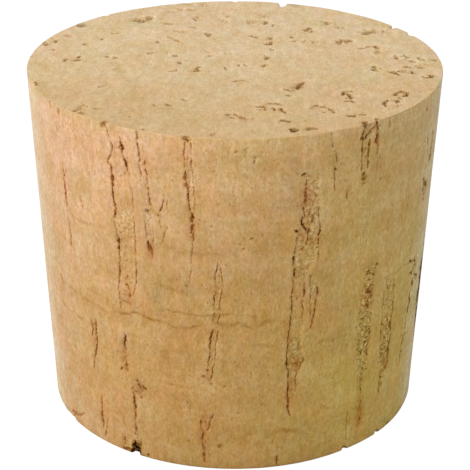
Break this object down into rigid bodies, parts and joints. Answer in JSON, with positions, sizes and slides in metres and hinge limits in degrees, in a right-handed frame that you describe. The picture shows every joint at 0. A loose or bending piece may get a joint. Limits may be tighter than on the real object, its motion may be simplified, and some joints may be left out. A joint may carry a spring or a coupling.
{
  "type": "cork stopper",
  "caption": "Tapered round stopper of natural cork, with lenticel channels and cracks down its side and pores in both flat ends.",
  "frame": {"origin": "centre of the small end's flat face, which the stopper stands on", "axes": "+Z along the axis of the taper, from the small end to the wide end; -Y is the side with the black notch and the long cracked channels"},
  "size_m": [0.044, 0.044, 0.038],
  "materials": {
    "cork": "dry, matt, sanded natural cork, pale tan, with brown cracks, crumbled channels and pores"
  },
  "bodies": {
    "root": {"cork_stopper": "cork"}
  },
  "joints": []
}
